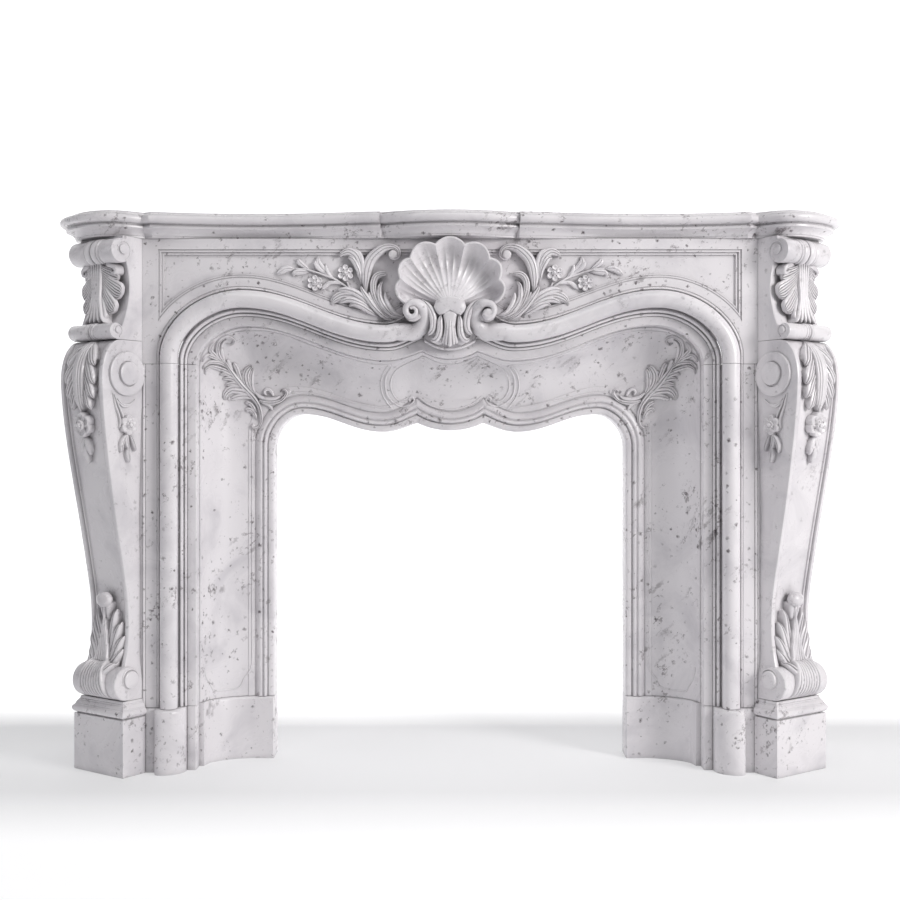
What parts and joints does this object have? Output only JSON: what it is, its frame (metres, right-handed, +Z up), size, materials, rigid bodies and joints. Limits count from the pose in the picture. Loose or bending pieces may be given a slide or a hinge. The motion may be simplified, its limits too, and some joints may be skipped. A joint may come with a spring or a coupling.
{
  "type": "fireplace mantel",
  "caption": "Carved marble chimneypiece with a serpentine shelf, shell frieze, coved slips and canted scroll consoles.",
  "frame": {"origin": "middle of the bounding box on the floor, halfway between the foremost volutes and the wall plane", "axes": "+X to the right along the front, +Y from the front towards the wall, +Z up"},
  "size_m": [1.5762, 0.372, 1.11],
  "materials": {
    "marble": "polished"
  },
  "bodies": {
    "root": {"shelf": "marble", "frieze": "marble", "left_jamb": "marble", "right_jamb": "marble", "left_jamb_foot": "marble", "right_jamb_foot": "marble", "inner_lintel": "marble", "left_inner_panel": "marble", "right_inner_panel": "marble", "left_inner_foot": "marble", "right_inner_foot": "marble", "left_console": "marble", "right_console": "marble", "left_console_cap": "marble", "right_console_cap": "marble", "left_console_plinth": "marble", "right_console_plinth": "marble", "left_return": "marble", "right_return": "marble"}
  },
  "joints": []
}
